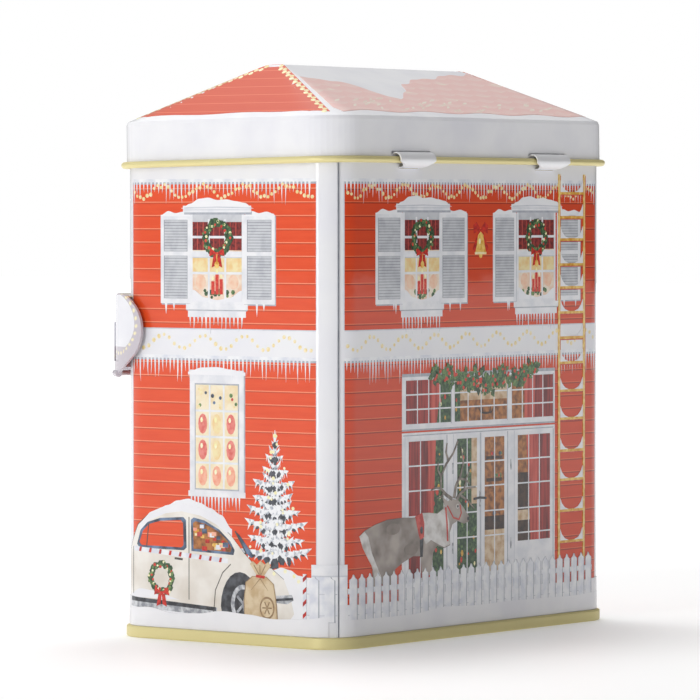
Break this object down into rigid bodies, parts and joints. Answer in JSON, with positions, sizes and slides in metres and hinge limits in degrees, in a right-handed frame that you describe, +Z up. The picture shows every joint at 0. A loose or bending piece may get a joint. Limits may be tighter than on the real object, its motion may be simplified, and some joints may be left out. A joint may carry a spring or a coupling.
{
  "type": "hinged cookie tin",
  "caption": "Rectangular tinplate cookie tin shaped as a small house, with a hip-roof lid hinged on two tabs and a pressed porch hood on the front wall.",
  "frame": {"origin": "middle of the footprint, on the surface the tin stands on", "axes": "+Z up; X along the width; the wall with the porch hood faces -Y and the hinged wall faces +Y"},
  "size_m": [0.14, 0.0918, 0.1644],
  "materials": {
    "printed_tinplate": "printed tinplate under glossy clear lacquer",
    "printed_roof_tinplate": "printed tinplate under glossy clear lacquer",
    "white_lacquered_tinplate": "white lacquered tinplate, glossy",
    "gold_lacquered_tinplate": "gold lacquered tinplate, bare of print"
  },
  "bodies": {
    "tin_body": {"body_wall": "printed_tinplate", "side_seam": "gold_lacquered_tinplate", "top_hem": "gold_lacquered_tinplate", "bottom_panel": "gold_lacquered_tinplate", "bottom_ring": "gold_lacquered_tinplate", "hinge_tab_left": "white_lacquered_tinplate", "hinge_tab_right": "white_lacquered_tinplate", "porch_hood": "white_lacquered_tinplate"},
    "lid": {"lid_shell": "printed_roof_tinplate", "lid_rolled_edge": "gold_lacquered_tinplate"}
  },
  "joints": [
    {"name": "lid_hinge", "type": "hinge", "parent": "tin_body", "child": "lid", "pos_m": [0, 0.0414, 0.137], "axis": [-1, 0, 0], "range_deg": [0, 105]}
  ]
}
